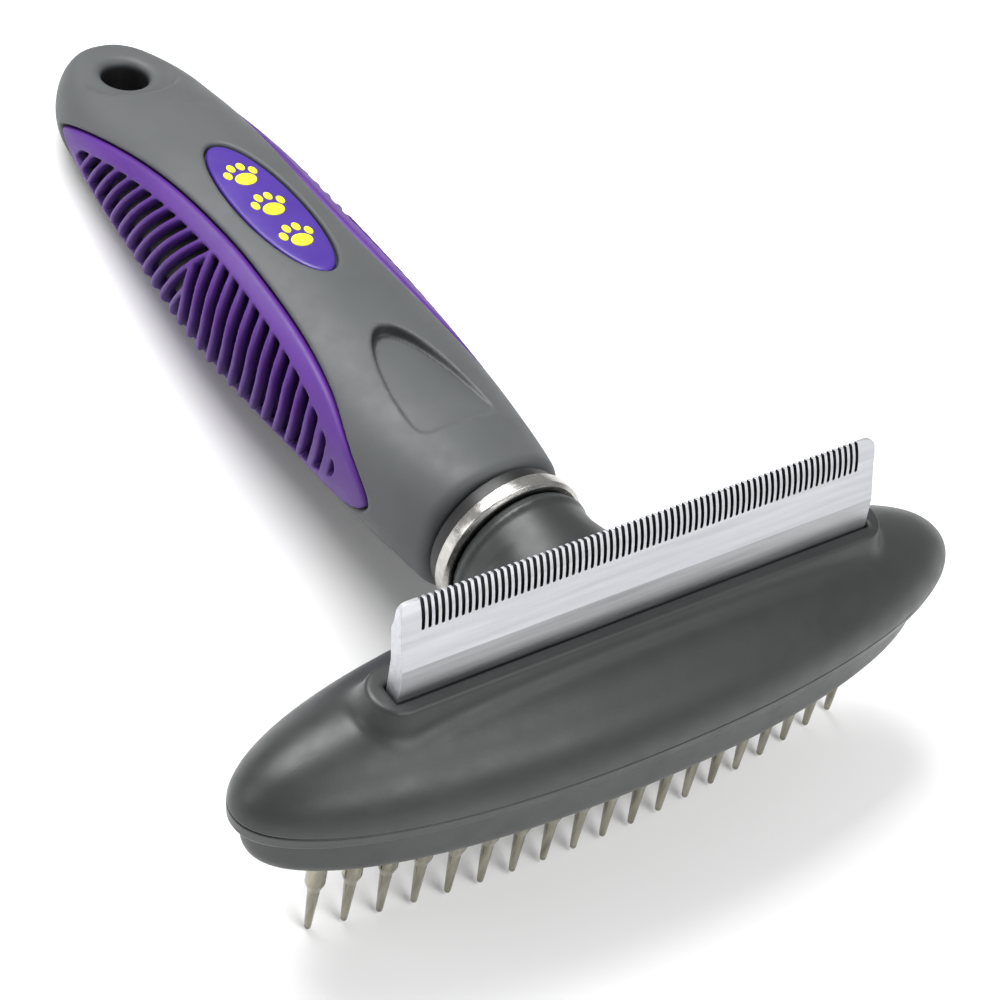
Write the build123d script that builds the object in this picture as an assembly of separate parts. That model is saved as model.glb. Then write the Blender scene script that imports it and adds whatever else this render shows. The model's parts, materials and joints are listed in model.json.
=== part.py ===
from build123d import *
import math
import os

# Undercoat rake with a comb-cut deshedding blade on one side of the head and a row of
# turned steel pins on the other.  All sizes are millimetres.
#
# The pieces are drawn in the tool's own frame: X runs along the blade, +Y runs from the
# head towards the hanging end of the handle, and Z = 0 is the line where the two head
# shells meet.  At the end everything is tipped and lifted so that the rake stands on
# Z = 0, on its pin tips and on the hanging end of its handle.

# Head shells
HEAD_HALF_LENGTH = 68.9
HEAD_HALF_WIDTH = 17.2
HEAD_POWER = 2.12
HEAD_CENTRE_Y = -0.9
DOME_HEIGHT = 13.2
SHELL_WALL = 2.3
RIM_DEPTH = 2.8
BASE_DEPTH = 11.0
BASE_HALF_LENGTH = 65.2
BASE_HALF_WIDTH = 16.4
FLOOR_TOP = -7.5
TRAY_HALF_LENGTH = 62.8
TRAY_HALF_WIDTH = 14.0

# Raised lip round the blade
LIP_HALF_LENGTH = 48.8
LIP_HALF_WIDTH = 4.8
LIP_CENTRE_Y = -0.8
LIP_TOP = 15.5

# Blade
BLADE_LENGTH = 90.0
BLADE_THICKNESS = 3.1
BLADE_FOOT_Z = 5.5
BLADE_FOOT_Y = -2.9
BLADE_CREASE = (-2.1, 20.5)
BLADE_ROOT = (0.1, 26.1)
BLADE_TIP = (2.0, 30.3)
BLADE_TIP_THICKNESS = 0.7
BLADE_END_MARGIN = 3.8
SLOT_COUNT = 72
SLOT_WIDTH = 0.56
CLAMP_THICKNESS = 3.0
CLAMP_HALF_LENGTH = 40.0
CLAMP_TOP = 9.5
CLAMP_SCREW_X = 30.0
CLAMP_SCREW_Z = 7.4
CLAMP_SCREW_R = 1.25
CLAMP_SCREW_HEAD_R = 2.3
CLAMP_SCREW_HEAD = 1.8
CLAMP_SCREW_BITE = 3.4

# Pins
PIN_COUNT = 19
PIN_PITCH = 5.857
PIN_LEAN = 5.5
PIN_ROW_Y = -10.3
PIN_ROW_CURVE = 0.0019
PIN_TIP_Z = -30.5
PIN_SEAT_Z = -9.0
PIN_COLLAR_R = 1.6
PIN_COLLAR_LENGTH = 11.2
PIN_SHOULDER_R = 1.0
PIN_TIP_R = 0.52
PIN_FLANGE_R = 2.2
PIN_FLANGE_THICKNESS = 1.2
RUNNING_CLEARANCE = 0.05
SCREW_CLEARANCE = 0.15

# Pin retainer and screws
RETAINER_HALF_LENGTH = 55.8
RETAINER_THICKNESS = 2.5
RETAINER_SCREW_OFFSET = 2.9
RETAINER_SCREW_STEPS = (2.5, 6.5)
RETAINER_SCREW_R = 1.0
RETAINER_SCREW_END = -9.8
RETAINER_SCREW_HEAD_R = 1.7
RETAINER_SCREW_HEAD = 1.2
SHELL_SCREW_PLACES = ((55.5, 3.6), (22.0, 9.0))
SHELL_SCREW_R = 1.4
SHELL_SCREW_TOP = 5.0
SHELL_SCREW_HEAD_R = 2.6
SHELL_SCREW_SINK = 2.2
SHELL_SCREW_HEAD = 1.9
BOSS_R = 2.9

# Neck, ring and the joint between head and handle
HANDLE_DROOP = 3.45
HANDLE_AXIS_Z = 1.7
NECK_END = 25.6
NECK_R = 12.4
TENON_R = 9.0
TENON_END = 50.0
RING_START = 26.0
RING_END = 28.8
RING_R = 13.4
RING_BORE_R = 11.4
SPACER_END = 31.5
SPACER_R = 12.8
NECK_SCREW_R = 2.0
NECK_SCREW_SEAT = 11.3
NECK_SCREW_END = 62.0
NECK_SCREW_HEAD_R = 3.5
NECK_SCREW_HEAD = 2.6
NECK_SCREW_ROOM_R = 5.0
NECK_SCREW_ROOM_START = 6.0
NECK_WASHER_R = 4.4
NECK_WASHER_THICKNESS = 0.8

# Handle: distance along the axis, half width, height of the top and of the underside
HANDLE_STATIONS = (
    (32.0, 13.0, 12.8, -12.7),
    (38.0, 14.4, 12.8, -12.0),
    (48.0, 16.1, 12.9, -11.3),
    (67.0, 17.4, 14.4, -11.1),
    (94.0, 18.3, 15.3, -11.6),
    (121.0, 17.0, 15.4, -7.8),
    (138.0, 15.4, 14.0, -5.0),
    (146.0, 14.5, 13.2, -3.4),
)
HANDLE_TAPER_START = 145.5
HANDLE_TAPER_HALF_WIDTH = 14.5
HANDLE_CAP_START = 156.6
HANDLE_CAP_TOP = 12.5
HANDLE_CAP_BOTTOM = -2.1
HANDLE_END = 163.0
HANDLE_POWER = 2.4
OVERMOLD_THICKNESS = 2.8
GRIP_THICKNESS = 2.2
# Distance along the axis and half width of the grey band between the two grips
GRIP_EDGE = (
    (45.8, 16.6),
    (50.0, 15.6),
    (60.0, 13.2),
    (72.0, 11.0),
    (85.0, 9.7),
    (97.0, 9.3),
    (108.0, 9.5),
    (120.0, 10.6),
    (133.0, 12.2),
    (143.0, 13.7),
    (149.5, 14.6),
)
HOLE_Y = 151.0
HOLE_R = 4.3
HOLE_LINING = 1.8
PAD_R = 9.2
PAD_HEIGHT = 11.3
BADGE_Y = 102.7
BADGE_HALF_LENGTH = 18.9
BADGE_HALF_WIDTH = 6.0
BADGE_SINK = 0.3
BADGE_THICKNESS = 1.2
PRINT_HEIGHT = 0.25
PAW_SPACING = 9.0
THUMB_START = 44.5
THUMB_END = 68.4
THUMB_HALF_WIDTH = 7.6
THUMB_STEP = 0.5
THUMB_TILT = 4.5

OUTLINE_POINTS = 24


def superellipse(half_x, half_y, power):
    """A closed face in the XY plane with a superellipse outline."""
    points = []
    for i in range(OUTLINE_POINTS):
        angle = 2 * math.pi * i / OUTLINE_POINTS
        c, s = math.cos(angle), math.sin(angle)
        x = half_x * math.copysign(abs(c) ** (2 / power), c)
        y = half_y * math.copysign(abs(s) ** (2 / power), s)
        points.append((x, y))
    return make_face(Spline(*points, periodic=True))


def head_outline(half_x, half_y, z):
    return Pos(0, HEAD_CENTRE_Y, z) * superellipse(half_x, half_y, HEAD_POWER)


def handle_frame():
    """The handle's own frame: Y along its axis, drooping away from the head."""
    return Location((0, 0, HANDLE_AXIS_Z), (-HANDLE_DROOP, 0, 0))


def along_handle(radius, start, end):
    """A cylinder on the handle's axis from one distance to another."""
    return Pos(0, (start + end) / 2, 0) * Rot(90, 0, 0) * Cylinder(radius, end - start)


def tube_along_handle(outer, inner, start, end):
    return along_handle(outer, start, end) - along_handle(inner, start - 1, end + 1)


# ---------------------------------------------------------------- head shells


def dome(height, half_x, half_y):
    """The upper shell's outer form: long and flat-topped along X, round across Y."""
    levels = (0.0, 0.22, 0.45, 0.65, 0.8, 0.91, 0.98)
    faces = []
    for level in levels:
        fall = 1 - level ** 2
        faces.append(head_outline(half_x * fall ** 0.25, half_y * fall ** 0.5, height * level))
    return loft(faces)


def lip():
    """The raised collar round the blade, flaring out at its foot."""
    profile = ((9.5, 3.6, 4.2), (11.4, 1.7, 2.2), (13.0, 0.6, 0.8), (LIP_TOP, 0.0, 0.0))
    faces = []
    for z, grow_x, grow_y in profile:
        half_x, half_y = LIP_HALF_LENGTH + grow_x, LIP_HALF_WIDTH + grow_y
        faces.append(Pos(0, LIP_CENTRE_Y, z) * RectangleRounded(2 * half_x, 2 * half_y, half_y * 0.94))
    return loft(faces, ruled=True)


def neck():
    """The round neck, flaring as it runs into the head."""
    rings = (
        (5.0, 25.0, 8.6),
        (10.0, 19.5, 10.4),
        (15.0, 14.6, 11.5),
        (20.0, 12.4, 12.0),
        (NECK_END, NECK_R, NECK_R),
    )
    faces = []
    for y, half_x, half_z in rings:
        plane = Plane(origin=(0, y, 0), x_dir=(1, 0, 0), z_dir=(0, -1, 0))
        faces.append(plane * Ellipse(half_x, half_z))
    under_head = Pos(0, 0, -20) * extrude(head_outline(HEAD_HALF_LENGTH, HEAD_HALF_WIDTH, 0), 20)
    return handle_frame() * loft(faces) - under_head


def shell_screw_spots():
    return [(sign * x, y) for x, y in SHELL_SCREW_PLACES for sign in (-1, 1)]


def post(spot, radius, low, high):
    return Pos(spot[0], spot[1], (low + high) / 2) * Cylinder(radius, high - low)


def clamp_screw_hole(radius, y_low, y_high):
    holes = Part()
    for x in (-CLAMP_SCREW_X, CLAMP_SCREW_X):
        rod = Rot(90, 0, 0) * Cylinder(radius, y_high - y_low)
        holes += Pos(x, (y_low + y_high) / 2, CLAMP_SCREW_Z) * rod
    return holes


def box_between(low, high):
    size = [b - a for a, b in zip(low, high)]
    centre = [(a + b) / 2 for a, b in zip(low, high)]
    return Pos(*centre) * Box(*size)


def blade_channel():
    """Room for the blade and its clamp, with a wider mouth at the lip."""
    half = BLADE_LENGTH / 2
    front = BLADE_FOOT_Y
    back = BLADE_FOOT_Y + BLADE_THICKNESS
    channel = box_between((-half, front, 0), (half, back, LIP_TOP + 1))
    mouth = box_between((-half - 0.5, front - 0.4, LIP_TOP - 3), (half + 0.5, back + 0.4, LIP_TOP + 1))
    return channel + mouth


def clamp_room():
    """The pocket behind the blade's foot for the clamp bar and its screw heads."""
    half = CLAMP_HALF_LENGTH + 0.3
    back = BLADE_FOOT_Y + BLADE_THICKNESS + CLAMP_THICKNESS + CLAMP_SCREW_HEAD + 0.3
    return box_between((-half, BLADE_FOOT_Y + 1, 2), (half, back, CLAMP_TOP + 0.4))


def neck_screw_room(end):
    """The neck screw's clearance hole as far as a distance, and room for its head."""
    start = NECK_SCREW_ROOM_START
    room = along_handle(NECK_SCREW_ROOM_R, start, NECK_SCREW_SEAT)
    return handle_frame() * (room + along_handle(NECK_SCREW_R + SCREW_CLEARANCE, start, end))


def head_upper_shell():
    outer = dome(DOME_HEIGHT, HEAD_HALF_LENGTH, HEAD_HALF_WIDTH)
    cavity = dome(DOME_HEIGHT - SHELL_WALL, HEAD_HALF_LENGTH - SHELL_WALL, HEAD_HALF_WIDTH - SHELL_WALL)
    cavity -= box_between((-80, 11.0, -1), (80, 40, 30))
    wall_end = BLADE_LENGTH / 2 + 3
    cavity -= box_between((-wall_end, BLADE_FOOT_Y - 4.2, 2), (wall_end, BLADE_FOOT_Y, 30))
    for spot in shell_screw_spots():
        cavity -= post(spot, BOSS_R, -1, 20)
    shell = outer + lip() + neck() - cavity - blade_channel() - clamp_room()
    shell += handle_frame() * along_handle(TENON_R, NECK_END, TENON_END)
    for spot in shell_screw_spots():
        shell -= post(spot, SHELL_SCREW_R, -1, SHELL_SCREW_TOP)
    shell -= clamp_screw_hole(CLAMP_SCREW_R, BLADE_FOOT_Y - CLAMP_SCREW_BITE, BLADE_FOOT_Y + 1)
    return shell - neck_screw_room(TENON_END + 1)


def head_lower_shell():
    rim = loft([
        head_outline(HEAD_HALF_LENGTH, HEAD_HALF_WIDTH, 0),
        head_outline(HEAD_HALF_LENGTH - 0.9, HEAD_HALF_WIDTH - 0.4, -RIM_DEPTH),
    ])
    base = loft([
        head_outline(BASE_HALF_LENGTH, BASE_HALF_WIDTH, -RIM_DEPTH + 0.2),
        head_outline(BASE_HALF_LENGTH + 0.2, BASE_HALF_WIDTH, -6.0),
        head_outline(BASE_HALF_LENGTH - 0.4, BASE_HALF_WIDTH - 0.4, -9.0),
        head_outline(BASE_HALF_LENGTH - 1.2, BASE_HALF_WIDTH - 1.2, -10.4),
        head_outline(BASE_HALF_LENGTH - 2.8, BASE_HALF_WIDTH - 2.8, -BASE_DEPTH),
    ])
    tray = extrude(head_outline(TRAY_HALF_LENGTH, TRAY_HALF_WIDTH, FLOOR_TOP), 10)
    for spot in shell_screw_spots():
        tray -= post(spot, BOSS_R, -12, 4)
    shell = rim + base - tray
    for spot in shell_screw_spots():
        shell -= post(spot, SHELL_SCREW_R + SCREW_CLEARANCE, -12, 1)
        shell -= post(spot, SHELL_SCREW_HEAD_R + 0.2, -12, -BASE_DEPTH + SHELL_SCREW_SINK)
    for place in pin_places():
        bore = Pos(0, 0, -3) * Cylinder(PIN_COLLAR_R + RUNNING_CLEARANCE, 8)
        seat = Pos(0, 0, 1.5) * Cylinder(PIN_FLANGE_R + 0.1, 3)
        shell -= place * (bore + seat)
    for spot in retainer_screw_spots():
        shell -= post(spot, RETAINER_SCREW_R, RETAINER_SCREW_END, -5)
    return shell - neck_screw_room(NECK_END)


# ---------------------------------------------------------------- blade


def blade_profile():
    """The blade's section across its length: upright foot, crease, lean and thin tips."""
    back_y = BLADE_FOOT_Y + BLADE_THICKNESS
    foot = (BLADE_FOOT_Y, BLADE_FOOT_Z)
    foot_back = (back_y, BLADE_FOOT_Z)
    front = Polyline(foot, (BLADE_FOOT_Y, LIP_TOP), BLADE_CREASE, BLADE_ROOT)
    tip_front = ThreePointArc(BLADE_ROOT, (0.85, 28.4), BLADE_TIP)
    tip_back_point = (BLADE_TIP[0] + BLADE_TIP_THICKNESS, BLADE_TIP[1] - 0.3)
    tip_end = Line(BLADE_TIP, tip_back_point)
    tip_back = ThreePointArc(tip_back_point, (2.35, 27.9), (2.5, 25.2))
    back = Polyline((2.5, 25.2), (0.9, 20.6), (back_y, LIP_TOP), foot_back, foot)
    return make_face(front + tip_front + tip_end + tip_back + back)


def deshedding_blade():
    plane = Plane(origin=(-BLADE_LENGTH / 2, 0, 0), x_dir=(0, 1, 0), z_dir=(1, 0, 0))
    blade = extrude(plane * blade_profile(), BLADE_LENGTH)
    first = -BLADE_LENGTH / 2 + BLADE_END_MARGIN
    pitch = (BLADE_LENGTH - 2 * BLADE_END_MARGIN) / (SLOT_COUNT - 1)
    slots = []
    for i in range(SLOT_COUNT):
        x = first + i * pitch
        slots.append(box_between((x - SLOT_WIDTH / 2, -2, BLADE_ROOT[1]), (x + SLOT_WIDTH / 2, 6, 32)))
    blade -= slots
    back = BLADE_FOOT_Y + BLADE_THICKNESS
    return blade - clamp_screw_hole(CLAMP_SCREW_R + SCREW_CLEARANCE, BLADE_FOOT_Y - 1, back + 1)


def blade_clamp_bar():
    front = BLADE_FOOT_Y + BLADE_THICKNESS
    back = front + CLAMP_THICKNESS
    bar = box_between((-CLAMP_HALF_LENGTH, front, BLADE_FOOT_Z), (CLAMP_HALF_LENGTH, back, CLAMP_TOP))
    return bar - clamp_screw_hole(CLAMP_SCREW_R + SCREW_CLEARANCE, front - 1, back + 1)


def blade_screws():
    seat = BLADE_FOOT_Y + BLADE_THICKNESS + CLAMP_THICKNESS
    heads = clamp_screw_hole(CLAMP_SCREW_HEAD_R, seat, seat + CLAMP_SCREW_HEAD)
    return heads + clamp_screw_hole(CLAMP_SCREW_R, BLADE_FOOT_Y - CLAMP_SCREW_BITE, seat)


# ---------------------------------------------------------------- pins


def pin_height_above_tip(z):
    return (z - PIN_TIP_Z) * math.tan(math.radians(PIN_LEAN))


def pin_places():
    """Where each pin's flange sits: local Z runs up the pin's axis, away from its tip."""
    places = []
    for i in range(PIN_COUNT):
        x = PIN_PITCH * (i - (PIN_COUNT - 1) / 2)
        y = PIN_ROW_Y + PIN_ROW_CURVE * x ** 2 + pin_height_above_tip(PIN_SEAT_Z)
        places.append(Location((x, y, PIN_SEAT_Z), (-PIN_LEAN, 0, 0)))
    return places


def rake_pin():
    """A turned pin: flange, straight collar, shoulder cone, tapered shank and round tip."""
    length = (PIN_SEAT_Z - PIN_TIP_Z) / math.cos(math.radians(PIN_LEAN))
    gap = RUNNING_CLEARANCE
    outline = Polyline(
        (0, gap + PIN_FLANGE_THICKNESS),
        (PIN_FLANGE_R, gap + PIN_FLANGE_THICKNESS),
        (PIN_FLANGE_R, gap),
        (PIN_COLLAR_R, gap),
        (PIN_COLLAR_R, -PIN_COLLAR_LENGTH),
        (PIN_SHOULDER_R, -PIN_COLLAR_LENGTH - 1.6),
        (PIN_TIP_R, -length + PIN_TIP_R),
    )
    middle = PIN_TIP_R * math.sqrt(0.5)
    tip = ThreePointArc(
        (PIN_TIP_R, -length + PIN_TIP_R),
        (middle, -length + PIN_TIP_R - middle),
        (0, -length),
    )
    axis = Line((0, -length), (0, gap + PIN_FLANGE_THICKNESS))
    return revolve(Plane.XZ * make_face(outline + tip + axis), Axis.Z)


def row_y(x, z):
    return PIN_ROW_Y + PIN_ROW_CURVE * x ** 2 + pin_height_above_tip(z)


def retainer_screw_spots():
    spots = []
    for step in RETAINER_SCREW_STEPS:
        for sign in (-1, 1):
            x = sign * step * PIN_PITCH
            spots.append((x, row_y(x, FLOOR_TOP) + RETAINER_SCREW_OFFSET))
    return spots


def pin_retainer():
    end = RETAINER_HALF_LENGTH
    middle_y, end_y = row_y(0, FLOOR_TOP), row_y(end, FLOOR_TOP)
    front = ThreePointArc((-end, end_y - 3.2), (0, middle_y - 3.6), (end, end_y - 3.2))
    right = Line((end, end_y - 3.2), (end, end_y + 2.6))
    back = ThreePointArc((end, end_y + 2.6), (0, middle_y + 5.6), (-end, end_y + 2.6))
    left = Line((-end, end_y + 2.6), (-end, end_y - 3.2))
    plate = extrude(Pos(0, 0, FLOOR_TOP) * make_face(front + right + back + left), RETAINER_THICKNESS)
    for spot in retainer_screw_spots():
        plate -= post(spot, RETAINER_SCREW_R + SCREW_CLEARANCE, -12, 0)
    return plate


def retainer_screws():
    top = FLOOR_TOP + RETAINER_THICKNESS
    screws = Part()
    for spot in retainer_screw_spots():
        screws += post(spot, RETAINER_SCREW_R, RETAINER_SCREW_END, top)
        screws += post(spot, RETAINER_SCREW_HEAD_R, top, top + RETAINER_SCREW_HEAD)
    return screws


def shell_screws():
    seat = -BASE_DEPTH + SHELL_SCREW_SINK
    underside = seat - SHELL_SCREW_HEAD
    screws = Part()
    for spot in shell_screw_spots():
        head = post(spot, SHELL_SCREW_HEAD_R, underside, seat)
        socket = post(spot, 0.9, underside - 1, underside + 1)
        screws += head - socket + post(spot, SHELL_SCREW_R, seat, SHELL_SCREW_TOP)
    return screws


# ---------------------------------------------------------------- neck fastening


def collar_ring():
    ring = tube_along_handle(RING_R, RING_BORE_R, RING_START, RING_END)
    rims = ring.edges().filter_by(GeomType.CIRCLE).group_by(Axis.Y)
    outer_rim = [e for e in rims[0] if e.radius > RING_BORE_R + 0.5]
    return handle_frame() * chamfer(outer_rim, 0.5)


def collar_spacer():
    sleeve = tube_along_handle(RING_BORE_R, TENON_R, NECK_END, RING_END)
    flange = tube_along_handle(SPACER_R, TENON_R, RING_END, SPACER_END)
    return handle_frame() * (sleeve + flange)


def neck_washer():
    start = NECK_SCREW_SEAT - NECK_WASHER_THICKNESS
    return handle_frame() * tube_along_handle(NECK_WASHER_R, NECK_SCREW_R + 0.1, start, NECK_SCREW_SEAT)


def neck_screw():
    seat = NECK_SCREW_SEAT - NECK_WASHER_THICKNESS
    head = along_handle(NECK_SCREW_HEAD_R, seat - NECK_SCREW_HEAD, seat)
    socket = along_handle(1.5, seat - NECK_SCREW_HEAD - 1, seat - 1.2)
    return handle_frame() * (head - socket + along_handle(NECK_SCREW_R, seat, NECK_SCREW_END))


# ---------------------------------------------------------------- handle


def tapered_half_width(y, inset):
    """Half an oval's width, along the part of the handle that narrows to the hanging end."""
    share = (y - HANDLE_TAPER_START) / (HANDLE_END - HANDLE_TAPER_START - inset)
    return (HANDLE_TAPER_HALF_WIDTH - inset) * math.sqrt(1 - share ** 2)


def handle_sections(inset):
    """Half width, top and underside at each distance, with a rounded hanging end."""
    sections = [(y, w - inset, top - inset, low + inset) for y, w, top, low in HANDLE_STATIONS]
    cap_length = HANDLE_END - inset - HANDLE_CAP_START
    middle = (HANDLE_CAP_TOP + HANDLE_CAP_BOTTOM) / 2
    half_height = (HANDLE_CAP_TOP - HANDLE_CAP_BOTTOM) / 2 - inset
    for angle in (0, 25, 45, 62, 76, 86):
        along = math.sin(math.radians(angle))
        y = HANDLE_CAP_START + cap_length * along
        half = half_height * (1 - along ** 2.8) ** 0.45
        sections.append((y, tapered_half_width(y, inset), middle + half, middle - half))
    return sections


def handle_body(inset):
    """The handle's outer form, taken in by an even thickness."""
    faces = []
    for y, half_width, top, low in handle_sections(inset):
        plane = Plane(origin=(0, y, (top + low) / 2), x_dir=(1, 0, 0), z_dir=(0, -1, 0))
        faces.append(plane * superellipse(half_width, (top - low) / 2, HANDLE_POWER))
    return loft(faces)


def grip_region(side):
    """Everything outside one grip's edge, seen from above."""
    edge = [(side * x, y) for y, x in GRIP_EDGE]
    far = side * 30
    curve = Spline(*edge)
    frame = Polyline(edge[-1], (far, edge[-1][1]), (far, edge[0][1]), edge[0])
    return Pos(0, 0, -30) * extrude(make_face(curve + frame), 60)


def ellipse_prism(x, y, half_x, half_y):
    return Pos(x, y, 0) * extrude(Ellipse(half_x, half_y), 40)


def paw_print(y):
    """One paw: a broad pad and four toes, seen from above."""
    shapes = [ellipse_prism(0, y - 1.2, 2.0, 1.6)]
    for x, dy in ((-2.5, 0.7), (-0.95, 2.3), (0.95, 2.3), (2.5, 0.7)):
        shapes.append(ellipse_prism(x, y + dy, 0.72, 1.05))
    return shapes


def layer(body, top_drop, bottom_drop):
    """A skin that follows the top of the handle, between two depths."""
    return Pos(0, 0, -top_drop) * body - Pos(0, 0, -bottom_drop) * body


def thumb_recess(body):
    """The hollow for the thumb: deepest at its arch, with a small step at its end by the head."""
    outline = ellipse_prism(0, THUMB_START, THUMB_HALF_WIDTH, THUMB_END - THUMB_START)
    outline -= box_between((-30, 0, -1), (30, THUMB_START, 60))
    hinge = Pos(0, THUMB_START, HANDLE_STATIONS[2][2] - THUMB_STEP)
    tipped = hinge * Rot(-THUMB_TILT, 0, 0) * hinge.inverse() * body
    return outline - tipped


def hole_post(radius, low, high):
    return Pos(0, HOLE_Y, (low + high) / 2) * Cylinder(radius, high - low)


def hanging_pad():
    """Everything above the flat that surrounds the hanging hole and runs out over the end."""
    flat = hole_post(PAD_R, PAD_HEIGHT, 40)
    return flat + box_between((-30, HOLE_Y, PAD_HEIGHT), (30, HANDLE_END + 5, 40))


def handle_parts():
    """Core, overmold, grips, badge and print, all in the handle's frame."""
    outer = handle_body(0) - hanging_pad()
    under_grip = handle_body(GRIP_THICKNESS)
    core = handle_body(OVERMOLD_THICKNESS) - along_handle(TENON_R, 30, TENON_END + 0.3)
    core -= along_handle(NECK_SCREW_R, 45, NECK_SCREW_END + 0.5)
    core -= hole_post(HOLE_R + HOLE_LINING, -30, 30)
    grips = {}
    skin = outer - under_grip
    for name, side in (("grip_left", -1), ("grip_right", 1)):
        grips[name] = skin & grip_region(side)
    badge_shape = ellipse_prism(0, BADGE_Y, BADGE_HALF_WIDTH, BADGE_HALF_LENGTH)
    badge = layer(outer, BADGE_SINK, BADGE_SINK + BADGE_THICKNESS) & badge_shape
    print_skin = layer(outer, BADGE_SINK - PRINT_HEIGHT, BADGE_SINK)
    paws = [shape for step in (-1, 0, 1) for shape in paw_print(BADGE_Y + step * PAW_SPACING)]
    prints = print_skin & (Part() + paws)
    recess = layer(outer, 0, BADGE_SINK + BADGE_THICKNESS) & badge_shape
    overmold = outer - core_envelope() - grips["grip_left"] - grips["grip_right"] - recess
    overmold -= thumb_recess(outer)
    overmold += hole_post(HOLE_R + HOLE_LINING, -30, 30) & outer
    overmold -= hole_post(HOLE_R, -30, 30)
    return {
        "handle_core": core,
        "handle_overmold": overmold,
        "badge_plate": badge,
        "badge_print": prints,
        **grips,
    }


def core_envelope():
    """What the overmold is moulded round: the core with its front end open."""
    return handle_body(OVERMOLD_THICKNESS) + along_handle(TENON_R, 30, TENON_END)


# ---------------------------------------------------------------- assembly


def tool_parts():
    parts = {
        "head_upper_shell": head_upper_shell(),
        "head_lower_shell": head_lower_shell(),
        "deshedding_blade": deshedding_blade(),
        "blade_clamp_bar": blade_clamp_bar(),
        "blade_screws": blade_screws(),
        "pin_retainer": pin_retainer(),
        "retainer_screws": retainer_screws(),
        "shell_screws": shell_screws(),
        "collar_ring": collar_ring(),
        "collar_spacer": collar_spacer(),
        "neck_washer": neck_washer(),
        "neck_screw": neck_screw(),
    }
    for name, shape in handle_parts().items():
        parts[name] = handle_frame() * shape
    pin = rake_pin()
    for number, place in enumerate(pin_places(), start=1):
        parts[f"rake_pin_{number:02d}"] = place * pin
    return parts


def resting_tilt():
    """The tip that brings the pin tips and the handle's hanging end onto one floor."""
    droop = math.radians(HANDLE_DROOP)
    end_y = HANDLE_CAP_START * math.cos(droop) + HANDLE_CAP_BOTTOM * math.sin(droop)
    end_z = HANDLE_AXIS_Z - HANDLE_CAP_START * math.sin(droop) + HANDLE_CAP_BOTTOM * math.cos(droop)
    half_row = PIN_PITCH * (PIN_COUNT - 1) / 2
    tip_y = PIN_ROW_Y + PIN_ROW_CURVE * half_row ** 2
    return math.degrees(math.atan2(end_z - PIN_TIP_Z, end_y - tip_y))


def resting_place(parts):
    """Tips the tool onto the floor and centres its footprint on the origin."""
    tipped = [Rot(-resting_tilt(), 0, 0) * shape for shape in parts.values()]
    box = Compound(children=tipped).bounding_box(optimal=True)
    shift = Pos(0, -(box.min.Y + box.max.Y) / 2, -box.min.Z)
    return shift * Rot(-resting_tilt(), 0, 0)


def main():
    os.makedirs("parts", exist_ok=True)
    parts = tool_parts()
    place = resting_place(parts)
    for name, shape in parts.items():
        export_step(place * shape, os.path.join("parts", f"{name}.step"))
    print("tool frame placed at", place.position, place.orientation)


if __name__ == "__main__":
    main()
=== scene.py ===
import json
import math

import bpy
import numpy as np
from mathutils import Matrix, Vector


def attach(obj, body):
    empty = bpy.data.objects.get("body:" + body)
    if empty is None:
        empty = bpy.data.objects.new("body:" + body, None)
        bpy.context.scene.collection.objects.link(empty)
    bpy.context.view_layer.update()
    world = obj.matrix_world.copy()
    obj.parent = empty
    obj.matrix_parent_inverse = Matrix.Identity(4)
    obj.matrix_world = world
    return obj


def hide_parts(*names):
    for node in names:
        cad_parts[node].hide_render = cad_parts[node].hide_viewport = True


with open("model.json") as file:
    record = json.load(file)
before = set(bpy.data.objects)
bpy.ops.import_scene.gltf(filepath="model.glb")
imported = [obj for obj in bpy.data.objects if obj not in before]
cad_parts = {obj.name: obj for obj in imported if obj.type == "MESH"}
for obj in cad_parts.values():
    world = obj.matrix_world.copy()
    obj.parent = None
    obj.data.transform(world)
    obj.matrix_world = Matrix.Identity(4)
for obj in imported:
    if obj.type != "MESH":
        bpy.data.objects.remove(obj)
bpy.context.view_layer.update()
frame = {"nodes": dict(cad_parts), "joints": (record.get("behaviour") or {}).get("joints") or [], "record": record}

MM = 0.001

# The tool's own frame, in millimetres: X along the blade, +Y from the head to the hanging
# end, Z = 0 at the parting line of the head.  The handle's frame droops away from it.
PIN_LEAN = math.radians(5.5)
PIN_SEAT_Y = -8.23
PIN_SEAT_Z = -9.0
HANDLE_DROOP = math.radians(3.45)
HANDLE_AXIS_Z = 1.7

# Head, with the raised lip round its blade
HEAD_POWER = 2.12
HEAD_HALF_LENGTH = 68.8
HEAD_HALF_WIDTH = 17.1
HEAD_CENTRE_Y = -0.9
DOME_HEIGHT = 13.2
RIM_DEPTH = 2.8
BASE_DEPTH = 11.0
BASE_HALF_LENGTH = 65.2
BASE_HALF_WIDTH = 16.4
BASE_ROUND = 3.4
EDGE_ROUND = 0.4
RIM_DRAFT = 0.16
# Reach of the painted shade along the parting line
SEAM_SHADE_REACH = 0.34
LIP_HALF_LENGTH = 48.4
LIP_HALF_WIDTH = 4.6
LIP_DRAFT = 0.3
LIP_CENTRE_Y = -0.8
LIP_TOP = 15.5
LIP_FILLET = 1.8
SHELL_SCREW_SPOTS = ((55.5, 3.6), (22.0, 9.0))
SHELL_SCREW_HOLE_R = 2.8
SHELL_SCREW_HOLE_DEPTH = 2.2

# Neck: stations are distance along the handle's axis, half width and half height
NECK_START = 3.0
NECK_END = 25.6
NECK_R = 12.3
NECK_STATIONS = (
    (2.0, 28.0, 8.0),
    (5.0, 25.0, 8.6),
    (10.0, 19.5, 10.4),
    (15.0, 14.6, 11.5),
    (20.0, 12.4, 12.0),
    (NECK_END, NECK_R, NECK_R),
)
NECK_FILLET = 5.0
BEAD_HEIGHT = 0.45
BEAD_SPREAD = 0.7
BEAD_INSET = 1.6

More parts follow.
